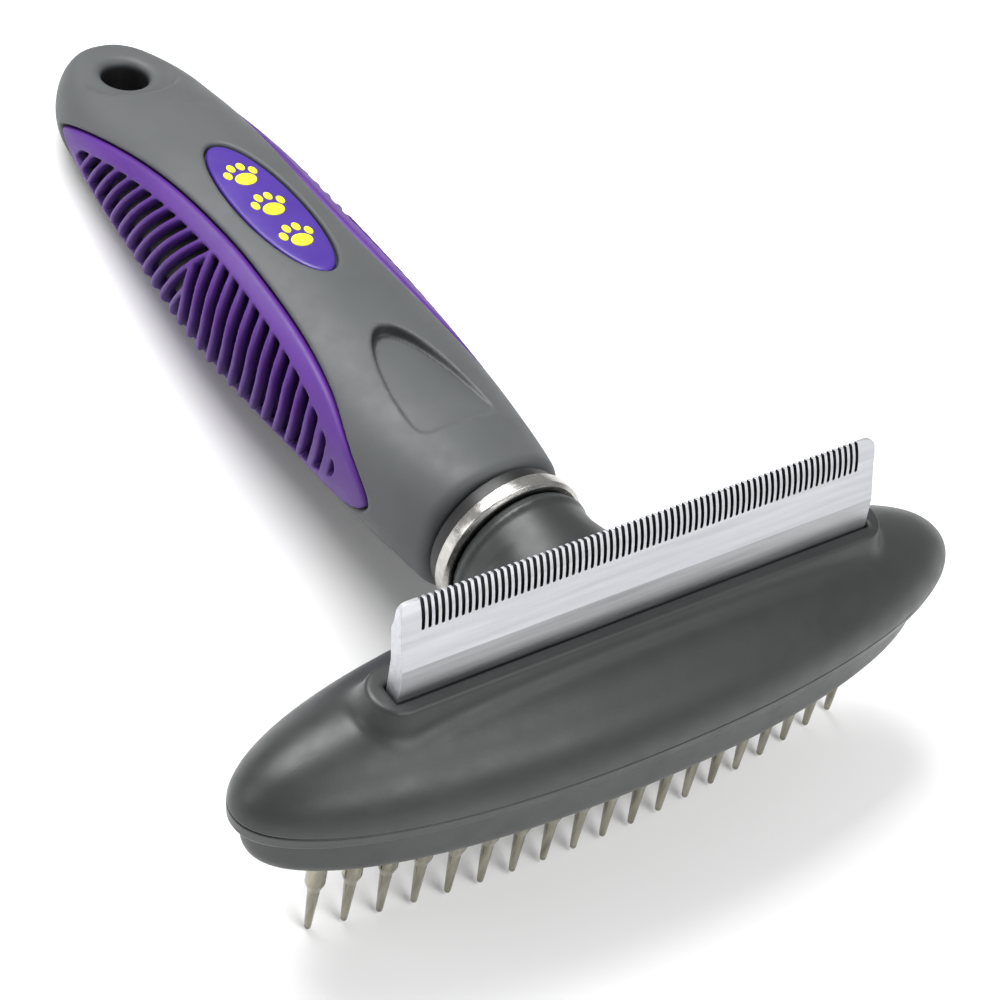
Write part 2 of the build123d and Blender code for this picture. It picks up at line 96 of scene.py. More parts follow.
# Blade and the opening that it stands in.  Its two faces, seen from the side as (Y, Z):
# foot, bend and crease, then root, belly and tip of the teeth.
BLADE_FRONT = ((-2.9, 5.5), (-2.9, 15.2), (-2.1, 20.5), ((0.1, 26.1), (0.85, 28.4), (2.0, 30.3)))
BLADE_BACK = ((0.2, 5.5), (0.2, 15.2), (0.9, 20.6), ((2.5, 25.6), (2.38, 27.9), (2.7, 30.05)))
BLADE_HALF_LENGTH = 45.0
BLADE_END_MARGIN = 3.8
BLADE_CORNER = 1.5
BLADE_EDGE_ROUND = 0.09
CREASE_STEP = -5.6
ARC_STEPS = 8
SLOT_COUNT = 72
SLOT_WIDTH = 0.56
OPENING_HALF_LENGTH = BLADE_HALF_LENGTH + 0.4
OPENING_HALF_WIDTH = 1.95
OPENING_Y = -1.35
OPENING_DEPTH = 5.0

# Pins, measured from their seats: flange, collar, stem and tip
PIN_REACH = 21.5
PIN_BORE_R = 1.75
PIN_FLANGE_R = 2.2
PIN_FLANGE_TOP = 1.2
PIN_FLANGE_FOOT = 0.08
PIN_COLLAR_R = 1.6
PIN_COLLAR_END = -11.2
PIN_STEM_R = 1.0
PIN_STEM_START = -12.8
PIN_TIP_R = 0.55
PIN_POINT_R = 0.52

# Collar: the polished ring and the dark spacer behind it, the spacer darkened further by painted shade
COLLAR_BORE_R = 11.4
RING_R = 13.4
RING_START = 26.0
RING_END = 28.75
RING_BEVEL = 0.6
SPACER_BORE_R = 9.0
SPACER_SLEEVE_R = 11.3
SPACER_R = 12.5
SPACER_START = 25.7
SPACER_STEP = 28.85
SPACER_END = 31.5
# How far painted shade darkens the spacer
SPACER_PAINTED_SHADE = 0.92

# Handle: distance along the axis, half width, height of the top and of the underside
HANDLE_STATIONS = (
    (32.0, 13.0, 12.8, -12.7),
    (38.0, 14.4, 12.8, -12.0),
    (48.0, 16.1, 12.9, -11.3),
    (67.0, 17.4, 14.4, -11.1),
    (94.0, 18.3, 15.3, -11.6),
    (121.0, 17.0, 15.4, -7.8),
    (138.0, 15.4, 14.0, -5.0),
    (146.0, 14.5, 13.2, -3.4),
    (156.6, 13.6, 12.5, -2.1),
    (166.0, 13.5, 12.4, -2.0),
)
HANDLE_START = 32.0
HANDLE_TAPER_START = 145.5
HANDLE_CAP_START = 156.6
HANDLE_END = 162.9
HANDLE_POWER = 2.4
CAP_BLUNTNESS = (2.8, 0.45)
QUARTER_ARC = 0.82
MOUTH_ROUND = 2.4
HOLE_Y = 151.0
HOLE_R = 4.3
PAD_R = 9.2
PAD_HEIGHT = 11.3
PAD_EDGE = 1.5
BADGE_Y = 102.7
BADGE_HALF_LENGTH = 18.9
BADGE_HALF_WIDTH = 6.0
BADGE_SINK = 0.35
BADGE_GAP = 0.2
BADGE_FOOT = -1.5
BADGE_EDGE = 0.35
PRINT_EDGE = 0.12
PRINT_TOP = -BADGE_SINK + 0.2
PRINT_FOOT = -BADGE_SINK - 0.1
PAW_SPACING = 9.0
PAW_PALM = (0.0, -1.2, 2.0, 1.6)
PAW_TOES = ((-2.5, 0.7), (-0.95, 2.3), (0.95, 2.3), (2.5, 0.7))
PAW_TOE_SIZE = (0.72, 1.05)
THUMB_START = 44.5
THUMB_LENGTH = 23.9
THUMB_HALF_WIDTH = 7.6
THUMB_SHALLOW = 0.2
THUMB_FALL = 1.95
GRIP_DEPTH = 2.2
GRIP_SEAM = 0.12
GRIP_EDGE = 0.9
GRIP_MIDDLE = 95.0
GRIP_HALF_HEIGHT = 16.4
GRIP_TO_HEAD = 49.6
GRIP_TO_HANG = 53.3
GRIP_TIP_RISE = 1.4
GRIP_TIP_START = 62
GRIP_TIP_REACH = 16
OVAL_LENGTH_POWER = 1.7
OVAL_HEAD_POWER = 1 / 0.57
OVAL_HANG_POWER = 1 / 0.72
RIB_HALF_HEIGHT = 13.2
RIB_TO_HEAD = 42.0
RIB_TO_HANG = 47.0
GROOVE_PITCH = 3.34
GROOVE_DEPTH = 1.6
FIRST_ARC = 57.4
LAST_ARC = 12.5
ARC_MIDDLE = 1.5
ARC_BEND = 40
FIRST_DIAGONAL = 105.9
DIAGONAL_SLOPE = 0.43
DIAGONAL_HALF_GROOVE = 1.05
NARROW_HALF_GROOVE = 0.4
NARROW_UNTIL = 52
WIDE_FROM = 66

# Camera, in the tool's frame
CAMERA_PLACE = (-240.6, -196.6, 311.0)
CAMERA_RIGHT = (0.8006, -0.5612, 0.2105)
CAMERA_UP = (0.2731, 0.6541, 0.7056)
CAMERA_LENS = 102.7

# Light, in metres and watts: name, place, what it looks at, its two sizes and its power
WORLD_STRENGTH = 0.42
LAMPS = (
    ("overhead", (-0.1, 0.5, 0.8), (0, 0.02, 0), (0.7, 0.5), 11),
    ("left_side", (-0.8, 0.3, 0.35), (0, 0, 0.03), (0.4, 0.4), 1.3),
    ("front_floor", (0.2, -0.5, 0.9), (0.2, -0.45, 0), (0.6, 0.3), 3),
    ("front", (0.1, -0.9, 0.6), (0, -0.06, 0.03), (0.8, 0.3), 4.5),
)
FLOOR_HALF_SIZE = 4.0


# ---------------------------------------------------------------- frames and meshes


def tool_frame():
    """The tool's frame in millimetres, placed by the middle pin's joint."""
    middle = frame["joints"][len(frame["joints"]) // 2]
    tilt = math.atan2(middle["axis"][1], middle["axis"][2]) - PIN_LEAN
    turn = Matrix.Rotation(-tilt, 4, "X")
    origin = Vector(middle["pos_m"]) - turn @ (Vector((0, PIN_SEAT_Y, PIN_SEAT_Z)) * MM)
    return Matrix.Translation(origin) @ turn @ Matrix.Scale(MM, 4)


TOOL = tool_frame()
HANDLE = TOOL @ Matrix.Translation((0, 0, HANDLE_AXIS_Z)) @ Matrix.Rotation(-HANDLE_DROOP, 4, "X")


def piece(name, points, faces, matrix, slot, body="tool", replaces=(), painted_shade=None):
    """A smooth-shaded mesh object from points in one of the millimetre frames."""
    points = np.asarray(points, float)
    rotation = np.array(matrix.to_3x3())
    placed = points @ rotation.T + np.array(matrix.translation)
    mesh = bpy.data.meshes.new(name)
    mesh.from_pydata(placed.tolist(), [], [tuple(map(int, face)) for face in faces])
    # The depth attribute carries painted shade, darkening the colour where shade falls
    if painted_shade is not None:
        mesh.attributes.new("depth", "FLOAT", "POINT").data.foreach_set("value", painted_shade)
    mesh.validate()
    mesh.shade_smooth()
    mesh.materials.append(MATERIALS[slot])
    thing = bpy.data.objects.new(name, mesh)
    bpy.context.scene.collection.objects.link(thing)
    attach(thing, body)
    if replaces:
        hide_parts(*replaces)
    return thing


def smooth_union(a, b, radius):
    """The lower of two distance fields, with a fillet where they meet."""
    share = np.clip(0.5 + 0.5 * (b - a) / radius, 0, 1)
    return b * (1 - share) + a * share - radius * share * (1 - share)


def smooth_both(a, b, radius):
    """The higher of two distance fields, with their shared edge rounded."""
    return -smooth_union(-a, -b, radius)


def smooth_cut(a, b, radius):
    """Field a with field b taken out, its edge rounded."""
    return -smooth_union(-a, b, radius)


def ramp(value):
    """Nought to one with a soft start and end."""
    t = np.clip(value, 0, 1)
    return t * t * (3 - 2 * t)


def slope_of(field, points, reach=0.02):
    """The field's gradient at each point, by differences."""
    columns = []
    for axis in range(3):
        step = np.zeros(3)
        step[axis] = reach
        columns.append((field(*(points + step).T) - field(*(points - step).T)) / (2 * reach))
    return np.stack(columns, 1)


def pull_onto(field, points, limit):
    """Moves points along the field's slope until they lie on its surface."""
    for _ in range(3):
        slope = slope_of(field, points)
        move = (field(*points.T) / ((slope ** 2).sum(1) + 1e-9))[:, None] * slope
        length = np.linalg.norm(move, axis=1, keepdims=True) + 1e-9
        points = points - move * np.minimum(1, limit / length)
    return points


def relaxed(points, faces):
    """Each point moved halfway to the middle of the faces round it."""
    total = np.zeros_like(points)
    count = np.zeros(len(points))
    middles = points[faces].mean(1)
    for column in faces.T:
        np.add.at(total, column, middles)
        np.add.at(count, column, 1)
    return 0.5 * points + 0.5 * total / np.maximum(count, 1)[:, None]


def spaced(*spans):
    """Grid lines from spans of (start, end, step) laid end to end."""
    lines = [np.arange(start, end - step / 2, step) for start, end, step in spans]
    return np.append(np.concatenate(lines), spans[-1][1])


def skin(field, *axes):
    """A closed mesh of quads on the surface where a field is zero, over given grid lines."""
    step = np.median(np.diff(axes[0]))
    value = field(*np.meshgrid(*axes, indexing="ij"))
    inside = value < 0
    cells = np.array(value.shape) - 1
    corners = [(i, j, k) for i in (0, 1) for j in (0, 1) for k in (0, 1)]

    def at(grid, corner):
        return grid[tuple(slice(c, c + n) for c, n in zip(corner, cells))]

    filled = sum(at(inside, corner).astype(np.int8) for corner in corners)
    mixed = (filled > 0) & (filled < 8)
    number = np.full(mixed.shape, -1)
    number[mixed] = np.arange(mixed.sum())
    total = np.zeros((mixed.sum(), 3))
    count = np.zeros(mixed.sum())
    for first in corners:
        for axis in range(3):
            if first[axis] == 1:
                continue
            way = np.eye(3, dtype=int)[axis]
            a = at(value, first)[mixed]
            b = at(value, tuple(np.array(first) + way))[mixed]
            crossing = (a < 0) != (b < 0)
            share = (a / np.where(crossing, a - b, 1))[crossing]
            total[crossing] += np.array(first) + share[:, None] * way
            count[crossing] += 1
    spot = np.argwhere(mixed) + total / count[:, None]
    points = np.stack([np.interp(spot[:, i], np.arange(len(axes[i])), axes[i]) for i in range(3)], 1)
    faces = []
    for axis in range(3):
        way, u, v = np.eye(3, dtype=int)[[axis, (axis + 1) % 3, (axis + 2) % 3]]
        start = inside[tuple(slice(u[i] + v[i], cells[i]) for i in range(3))]
        end = inside[tuple(slice(u[i] + v[i] + way[i], cells[i] + way[i]) for i in range(3))]
        edge = np.argwhere(start != end) + u + v
        quads = np.stack([number[tuple((edge - a).T)] for a in (u + v, v, 0 * u, u)], 1)
        backward = ~inside[tuple(edge.T)]
        quads[backward] = quads[backward][:, ::-1]
        faces.append(quads)
    faces = np.concatenate(faces)
    points = pull_onto(field, points, step)
    for _ in range(2):
        points = pull_onto(field, relaxed(points, faces), step)
    return points, faces


def turned(profile, segments):
    """A lathe form about Z from a closed profile of (radius, height) points."""
    angles = np.arange(segments) * 2 * math.pi / segments
    points = [(r * math.cos(a), r * math.sin(a), z) for a in angles for r, z in profile]
    rows = len(profile)
    faces = []
    for i in range(segments):
        here, after = i * rows, (i + 1) % segments * rows
        for j in range(rows):
            k = (j + 1) % rows
            faces.append((here + j, here + k, after + k, after + j))
    return points, faces


def rounded(corners, radius, steps=4):
    """A closed profile with every corner turned into a small arc."""
    corners = [Vector(corner) for corner in corners]
    result = []
    for i, corner in enumerate(corners):
        before, after = corners[i - 1], corners[(i + 1) % len(corners)]
        reach = min(radius, (before - corner).length / 2.2, (after - corner).length / 2.2)
        start = corner + (before - corner).normalized() * reach
        end = corner + (after - corner).normalized() * reach
        for step in range(steps + 1):
            t = step / steps
            result.append(tuple(start * (1 - t) ** 2 + corner * 2 * t * (1 - t) + end * t ** 2))
    return result


# ---------------------------------------------------------------- materials


def material(name, colour, metallic=0.0, roughness=0.5):
    made = bpy.data.materials.new(name)
    made.use_nodes = True
    shader = made.node_tree.nodes["Principled BSDF"]
    shader.inputs["Base Color"].default_value = (*colour, 1)
    shader.inputs["Metallic"].default_value = metallic
    shader.inputs["Roughness"].default_value = roughness
    return made


def noise(made, scale, detail, stretch=(1, 1, 1)):
    """Noise over the object's own metres, stretched along one axis where asked."""
    nodes, links = made.node_tree.nodes, made.node_tree.links
    place = nodes.new("ShaderNodeTexCoord")
    mapping = nodes.new("ShaderNodeMapping")
    mapping.inputs["Scale"].default_value = stretch
    texture = nodes.new("ShaderNodeTexNoise")
    texture.inputs["Scale"].default_value = scale
    texture.inputs["Detail"].default_value = detail
    links.new(place.outputs["Object"], mapping.inputs["Vector"])
    links.new(mapping.outputs["Vector"], texture.inputs["Vector"])
    return texture.outputs["Fac"]


def spread(made, fac, low, high):
    """Maps the middle of a noise to a range."""
    node = made.node_tree.nodes.new("ShaderNodeMapRange")
    node.inputs["From Min"].default_value = 0.3
    node.inputs["From Max"].default_value = 0.7
    node.inputs["To Min"].default_value = low
    node.inputs["To Max"].default_value = high
    made.node_tree.links.new(fac, node.inputs["Value"])
    return node.outputs["Result"]


def vary_roughness(made, fac, low, high):
    shader = made.node_tree.nodes["Principled BSDF"]
    made.node_tree.links.new(spread(made, fac, low, high), shader.inputs["Roughness"])


def vary_colour(made, fac, dark, light):
    mix = made.node_tree.nodes.new("ShaderNodeMix")
    mix.data_type = "RGBA"
    mix.inputs["A"].default_value = (*dark, 1)
    mix.inputs["B"].default_value = (*light, 1)
    made.node_tree.links.new(spread(made, fac, 0, 1), mix.inputs["Factor"])
    shader = made.node_tree.nodes["Principled BSDF"]
    made.node_tree.links.new(mix.outputs["Result"], shader.inputs["Base Color"])


def bump(made, fac, height):
    """Relief whose full height is given in metres."""
    node = made.node_tree.nodes.new("ShaderNodeBump")
    node.inputs["Distance"].default_value = height
    node.inputs["Strength"].default_value = 1.0
    made.node_tree.links.new(fac, node.inputs["Height"])
    shader = made.node_tree.nodes["Principled BSDF"]
    made.node_tree.links.new(node.outputs["Normal"], shader.inputs["Normal"])


def moulded(name, dark, light, rough_low, rough_high, grain_height):
    """A moulded plastic or rubber: slight mottling, fine grain and uneven gloss."""
    made = material(name, light)
    vary_colour(made, noise(made, 60, 5), dark, light)
    vary_roughness(made, noise(made, 250, 3), rough_low, rough_high)
    bump(made, noise(made, 2600, 2), grain_height)
    return made


def brushed(name, dark, light, rough_low, rough_high, stretch, lines_height):
    """Metal with fine drawn lines along its stretched direction."""
    made = material(name, light, metallic=1.0)
    vary_colour(made, noise(made, 900, 3, stretch), dark, light)
    vary_roughness(made, noise(made, 1400, 2, stretch), rough_low, rough_high)
    bump(made, noise(made, 2500, 2, stretch), lines_height)
    return made


def paint_shade_by_attribute(made, dark):
    """Painted shade: lets the piece's own depth attribute lead from its colour to a darker one."""
    nodes, links = made.node_tree.nodes, made.node_tree.links
    shader = nodes["Principled BSDF"]
    depth = nodes.new("ShaderNodeAttribute")
    depth.attribute_name = "depth"
    mix = nodes.new("ShaderNodeMix")
    mix.data_type = "RGBA"
    mix.inputs["B"].default_value = (*dark, 1)
    links.new(shader.inputs["Base Color"].links[0].from_socket, mix.inputs["A"])
    links.new(depth.outputs["Fac"], mix.inputs["Factor"])
    links.new(mix.outputs["Result"], shader.inputs["Base Color"])


# Plastics and rubbers: darkest and lightest colour, roughness range, height of the grain
MOULDED = {
    "head_plastic": ((0.022, 0.024, 0.024), (0.029, 0.032, 0.032), 0.36, 0.46, 1.2e-5),
    "core_plastic": ((0.010, 0.010, 0.011), (0.016, 0.016, 0.017), 0.5, 0.6, 1e-5),
    "grey_grip": ((0.066, 0.071, 0.073), (0.080, 0.085, 0.088), 0.5, 0.6, 1.6e-5),
    "purple_grip": ((0.062, 0.009, 0.175), (0.080, 0.012, 0.22), 0.45, 0.56, 1.4e-5),
    "badge_plastic": ((0.046, 0.015, 0.22), (0.058, 0.020, 0.27), 0.3, 0.4, 0.8e-5),
    "badge_yellow": ((0.80, 0.78, 0.015), (0.95, 0.93, 0.03), 0.4, 0.5, 0.6e-5),
}

# Metals: the same, with the stretch of the drawn lines before their height
EVEN = (1, 1, 1)
ALONG_BLADE = (0.05, 1, 1)
ALONG_PIN = (1, 1, 0.1)
BRUSHED = {
    "blade_steel": ((0.56, 0.57, 0.60), (0.66, 0.67, 0.70), 0.5, 0.58, ALONG_BLADE, 0.5e-5),
    # Painted shade: a darker copy of the blade steel for the strip below the crease
    "shaded_foot_steel": ((0.39, 0.395, 0.41), (0.49, 0.495, 0.51), 0.45, 0.55, ALONG_BLADE, 0.5e-5),
    # Painted shade: near-black steel for the slot walls
    "shaded_slot_steel": ((0.02, 0.02, 0.022), (0.05, 0.05, 0.055), 0.5, 0.7, EVEN, 1e-5),
    "pin_steel": ((0.20, 0.19, 0.15), (0.36, 0.345, 0.28), 0.15, 0.25, ALONG_PIN, 0.4e-5),
    "polished_ring": ((0.42, 0.41, 0.39), (0.53, 0.52, 0.495), 0.16, 0.28, EVEN, 0.2e-5),
    "plated_steel": ((0.5, 0.5, 0.5), (0.62, 0.62, 0.62), 0.3, 0.42, EVEN, 0.4e-5),
}

# Painted shade: what the depth attribute leads to on groove floors, hole and thumb walls, parting line and spacer
PAINTED_SHADE_COLOURS = {
    "head_plastic": (0.002, 0.002, 0.002),
    "purple_grip": (0.006, 0.002, 0.016),
    "grey_grip": (0.008, 0.008, 0.009),
}


def make_materials():
    made = {name: moulded(name, *finish) for name, finish in MOULDED.items()}
    made.update({name: brushed(name, *finish) for name, finish in BRUSHED.items()})
    for name, colour in PAINTED_SHADE_COLOURS.items():
        paint_shade_by_attribute(made[name], colour)
    return made


MATERIALS = make_materials()


def paint_kept_nodes():
    """The CAD nodes that stay in view get the record's slot in its better finish."""
    slots = {part["node"]: part["material_slot"] for part in frame["record"]["subparts"]}
    for name, node in frame["nodes"].items():
        node.data.materials.clear()
        node.data.materials.append(MATERIALS[slots[name]])


# ---------------------------------------------------------------- head


def head_oval(x, y, half_length, half_width):
    """Distance outside the head's superellipse outline, seen from above."""
    across = np.abs(x / half_length) + 1e-6
    along = np.abs((y - HEAD_CENTRE_Y) / half_width) + 1e-6
    total = across ** HEAD_POWER + along ** HEAD_POWER - 1
    slope_x = HEAD_POWER * across ** (HEAD_POWER - 1) / half_length
    slope_y = HEAD_POWER * along ** (HEAD_POWER - 1) / half_width
    return total / np.sqrt(slope_x ** 2 + slope_y ** 2 + 1e-4)


def dome(x, y, z):
    """The upper shell's crown, which narrows less along X than across Y as it rises."""
    across = np.abs(x / HEAD_HALF_LENGTH) + 1e-4
    along = np.abs((y - HEAD_CENTRE_Y) / HEAD_HALF_WIDTH) + 1e-4
    a, b = across ** HEAD_POWER, along ** HEAD_POWER
    root = np.sqrt(a ** 2 + 4 * b)
    size = (a + root) / 2
    power = 4 / HEAD_POWER
    total = size ** power + (z / DOME_HEIGHT) ** 2 - 1
    by_size = power * size ** (power - 1)
    slope_x = by_size * (1 + a / root) / 2 * HEAD_POWER * across ** (HEAD_POWER - 1) / HEAD_HALF_LENGTH
    slope_y = by_size / root * HEAD_POWER * along ** (HEAD_POWER - 1) / HEAD_HALF_WIDTH
    slope_z = 2 * z / DOME_HEIGHT ** 2
    return total / np.sqrt(slope_x ** 2 + slope_y ** 2 + slope_z ** 2 + 1e-4)


def stadium(x, y, half_length, half_width):
    """Distance outside a straight slot shape with round ends, along the blade."""
    past = np.maximum(np.abs(x) - (half_length - half_width), 0)
    return np.hypot(past, y - LIP_CENTRE_Y) - half_width


def lip(x, y, z):
    """The blade's lip, its walls spreading as they go down."""
    outline = stadium(x, y, LIP_HALF_LENGTH, LIP_HALF_WIDTH)
    return (outline + LIP_DRAFT * (z - LIP_TOP)) / math.hypot(1, LIP_DRAFT)


def to_handle(y, z):
    """The tool frame's Y and Z as the handle's frame has them."""
    c, s = math.cos(HANDLE_DROOP), math.sin(HANDLE_DROOP)
    return c * y - s * (z - HANDLE_AXIS_Z), s * y + c * (z - HANDLE_AXIS_Z)


def neck(x, y, z):
    """The round neck with a small bead near its end, flaring towards the head."""
    along, height = to_handle(y, z)
    where, half_x, half_z = (np.array(column) for column in zip(*NECK_STATIONS))
    wide = np.interp(along, where, half_x)
    tall = np.interp(along, where, half_z)
    bead = BEAD_HEIGHT * np.exp(-((along - NECK_END + BEAD_INSET) / BEAD_SPREAD) ** 2)
    radius = np.sqrt((x / wide) ** 2 + (height / tall) ** 2)
    distance = (radius - 1) * np.minimum(wide, tall) - bead
    distance = smooth_both(distance, along - NECK_END, 0.6)
    return np.maximum(distance, NECK_START - along)


def upper_head(x, y, z):
    """Dome, lip and neck in one flowing form, with the opening that the blade stands in."""
    body = smooth_union(dome(x, y, z), lip(x, y, z), LIP_FILLET)
    body = smooth_both(body, -z, EDGE_ROUND)
    under = np.maximum(head_oval(x, y, HEAD_HALF_LENGTH, HEAD_HALF_WIDTH), z)
    column = smooth_cut(neck(x, y, z), under, EDGE_ROUND)
    body = smooth_union(body, column, NECK_FILLET)
    body = smooth_both(body, np.where(np.abs(y) < 9, z - LIP_TOP, -9), EDGE_ROUND)
    opening = np.maximum(np.abs(x) - OPENING_HALF_LENGTH, np.abs(y - OPENING_Y) - OPENING_HALF_WIDTH)
    return smooth_cut(body, np.maximum(opening, LIP_TOP - OPENING_DEPTH - z), 0.5)


def pin_frames():
    """Each pin's body and its frame in millimetres, with local Z up the pin's axis."""
    frames = []
    for joint in frame["joints"]:
        axis = Vector(joint["axis"])
        turn = Matrix.Rotation(-math.atan2(axis.y, axis.z), 4, "X")
        frames.append((joint["child"], Matrix.Translation(joint["pos_m"]) @ turn @ Matrix.Scale(MM, 4)))
    return frames


def lower_head(x, y, z):
    """The rim under the parting line and the smaller bull-nosed base with its pin bores."""
    rim = smooth_both(head_oval(x, y, HEAD_HALF_LENGTH, HEAD_HALF_WIDTH) - RIM_DRAFT * z, z, 0.5)
    rim = smooth_both(rim, -RIM_DEPTH - z, 0.7)
    base = smooth_both(head_oval(x, y, BASE_HALF_LENGTH, BASE_HALF_WIDTH), -BASE_DEPTH - z, BASE_ROUND)
    base = np.maximum(base, z + 1)
    body = smooth_union(rim, base, 0.5)
    back = TOOL.inverted()
    lean = math.tan(PIN_LEAN)
    for _, pin in pin_frames():
        seat = back @ pin.translation
        middle_y = seat.y + lean * (z - seat.z)
        bore = np.hypot(x - seat.x, y - middle_y) - PIN_BORE_R
        body = smooth_cut(body, bore, 0.5)
    for spot_x, spot_y in SHELL_SCREW_SPOTS:
        screw_hole = np.hypot(np.abs(x) - spot_x, y - spot_y) - SHELL_SCREW_HOLE_R
        body = smooth_cut(body, np.maximum(screw_hole, z + BASE_DEPTH - SHELL_SCREW_HOLE_DEPTH), 0.3)
    return body


def seam_shade_share(points):
    """Painted shade along the parting line: one on the line between the two shells, nought a third of a millimetre
    away.
    """
    return np.clip(1 - np.abs(points[:, 2]) / SEAM_SHADE_REACH, 0, 1)


def make_head():
    """Both shells, on grids whose rows are finest at the parting line and the ledge."""
    rows = spaced((-13, -0.4, 0.7), (-0.4, 0.8, 0.15), (0.8, 16.4, 0.5))
    points, faces = skin(upper_head, spaced((-70, 70, 0.6)), spaced((-19, 28, 0.55)), rows)
    # Painted shade along the upper shell's parting line
    painted_shade = seam_shade_share(points)
    piece("upper_head", points, faces, TOOL, "head_plastic", replaces=["head_upper_shell"], painted_shade=painted_shade)
    base_rows = ((-11.6, -7.6, 0.35), (-7.6, -3.6, 0.8))
    rim_rows = ((-3.6, -1.7, 0.15), (-1.7, -0.8, 0.3), (-0.8, 0.4, 0.12))
    rows = spaced(*base_rows, *rim_rows)
    points, faces = skin(lower_head, spaced((-70, 70, 0.5)), spaced((-19, 17.2, 0.4)), rows)
    # Painted shade along the lower shell's parting line
    painted_shade = seam_shade_share(points)
    piece("lower_head", points, faces, TOOL, "head_plastic", replaces=["head_lower_shell"], painted_shade=painted_shade)


# ---------------------------------------------------------------- blade


def arc_path(start, middle, end):
    """Points of a gentle arc through three points."""
    control = 2 * Vector(middle) - (Vector(start) + Vector(end)) / 2
    path = []
    for step in range(ARC_STEPS + 1):
        t = step / ARC_STEPS
        path.append(Vector(start) * (1 - t) ** 2 + control * 2 * t * (1 - t) + Vector(end) * t ** 2)
    return path


def blade_faces():
    """Front and back of the blade's section as functions of height above the tooth roots."""
    below_teeth = (-20.6, -10.9, -6.2, -5.9, -5.72, CREASE_STEP, -5.48, -5.3, -5.0)
    steps = np.array([*below_teeth, *np.linspace(0, 4.7, ARC_STEPS + 1)])
    paths = []
    for foot, bend, crease, tooth in (BLADE_FRONT, BLADE_BACK):
        lower, upper = Vector(crease) - Vector(bend), Vector(tooth[0]) - Vector(crease)
        path = [Vector(foot), Vector(bend)]
        path += [Vector(crease) + lower * share for share in (-0.11, -0.055, -0.022)]
        path += [Vector(crease) + (upper - lower) * 0.002]
        path += [Vector(crease) + upper * share for share in (0.022, 0.055, 0.11)]
        paths.append(np.array(path + arc_path(*tooth)))
    return steps, *paths


def comb_sheet():
    """The comb as flat quads over length and height: a plain foot, then teeth with round roots."""
    steps, _, _ = blade_faces()
    half_slot = SLOT_WIDTH / 2
    first = -BLADE_HALF_LENGTH + BLADE_END_MARGIN
    pitch = -2 * first / (SLOT_COUNT - 1)
    centres = [first + i * pitch for i in range(SLOT_COUNT)]
    foot_rows = [row for row in steps if row < -1]
    tooth_rows = [row for row in steps if row > 0]
    points, faces = [], []

    def column(x, root, top=None):
        """Point numbers up one column: the foot rows, the root, then the tooth rows."""
        heights = foot_rows + [root]
        if top is not None:
            heights += [row * top / tooth_rows[-1] for row in tooth_rows]
        start = len(points)
        points.extend((x, height) for height in heights)
        return list(range(start, len(points)))

    columns = []
    edges = [-BLADE_HALF_LENGTH]
    for centre in centres:
        edges += [centre - half_slot, centre + half_slot]
    edges.append(BLADE_HALF_LENGTH)
    for left, right in zip(edges[0::2], edges[1::2]):
        inner = [left, (left + right) / 2, right]
        if right - left > 2 * BLADE_CORNER:
            sign = 1 if left < 0 else -1
            outer = left if left < 0 else right
            turns = np.linspace(0, math.pi / 2, 6)
            bends = [outer + sign * BLADE_CORNER * (1 - math.cos(turn)) for turn in turns]
            inner = sorted(set(bends + [left, right]))
        for x in inner:
            inset = max(0, BLADE_CORNER - (BLADE_HALF_LENGTH - abs(x)))
            drop = BLADE_CORNER - math.sqrt(max(0, BLADE_CORNER ** 2 - inset ** 2))
            columns.append(column(x, 0.0, tooth_rows[-1] - drop))
        if right < BLADE_HALF_LENGTH:
            for angle in np.linspace(0, math.pi, 7)[1:-1]:
                x = right + half_slot - half_slot * math.cos(angle)
                columns.append(column(x, -half_slot * math.sin(angle)))
    for a, b in zip(columns, columns[1:]):
        for row in range(min(len(a), len(b)) - 1):
            faces.append((a[row], b[row], b[row + 1], a[row + 1]))
    return np.array(points), np.array(faces)


def make_blade():
    """The comb sheet bent to the blade's section, with its back and every wall."""
    sheet, quads = comb_sheet()
    steps, front, back = blade_faces()
    count = len(sheet)
    sides = []
    for path in (front, back):
        y = np.interp(sheet[:, 1], steps, path[:, 0])
        z = np.interp(sheet[:, 1], steps, path[:, 1])
        sides.append(np.stack([sheet[:, 0], y, z], 1))
    faces = [tuple(quad) for quad in quads] + [tuple(quad[::-1] + count) for quad in quads]
    used = set()
    for quad in quads:
        used.update((int(a), int(b)) for a, b in zip(quad, np.roll(quad, -1)))
    walls = [(a, b) for a, b in sorted(used) if (b, a) not in used]
    faces += [(b, a, a + count, b + count) for a, b in walls]
    bent = np.concatenate(sides)
    thing = piece("comb_blade", bent, faces, TOOL, "blade_steel", replaces=["deshedding_blade"])
    thing.data.materials.append(MATERIALS["shaded_slot_steel"])
    thing.data.materials.append(MATERIALS["shaded_foot_steel"])
    # Painted shade: the upright slot walls take the near-black steel
    inner = BLADE_HALF_LENGTH - BLADE_END_MARGIN + SLOT_WIDTH
    for polygon, (a, b) in zip(list(thing.data.polygons)[2 * len(quads):], walls):
        upright = abs(sheet[a][0] - sheet[b][0]) < 0.01 or max(sheet[a][1], sheet[b][1]) < 0.01
        if upright and abs(sheet[a][0]) < inner and min(sheet[a][1], sheet[b][1]) > -1:
            polygon.material_index = 1
    # Painted shade: faces below the crease take the darker copy of the blade steel
    for polygon in list(thing.data.polygons)[:2 * len(quads)]:
        if max(sheet[corner % count][1] for corner in polygon.vertices) < CREASE_STEP + 0.01:
            polygon.material_index = 2
    bevel = thing.modifiers.new("edges", "BEVEL")
    bevel.width = BLADE_EDGE_ROUND * MM
    bevel.segments = 2
    bevel.limit_method = "ANGLE"
    bevel.angle_limit = math.radians(50)
    thing.data.set_sharp_from_angle(angle=math.radians(40))


# ---------------------------------------------------------------- pins and collar


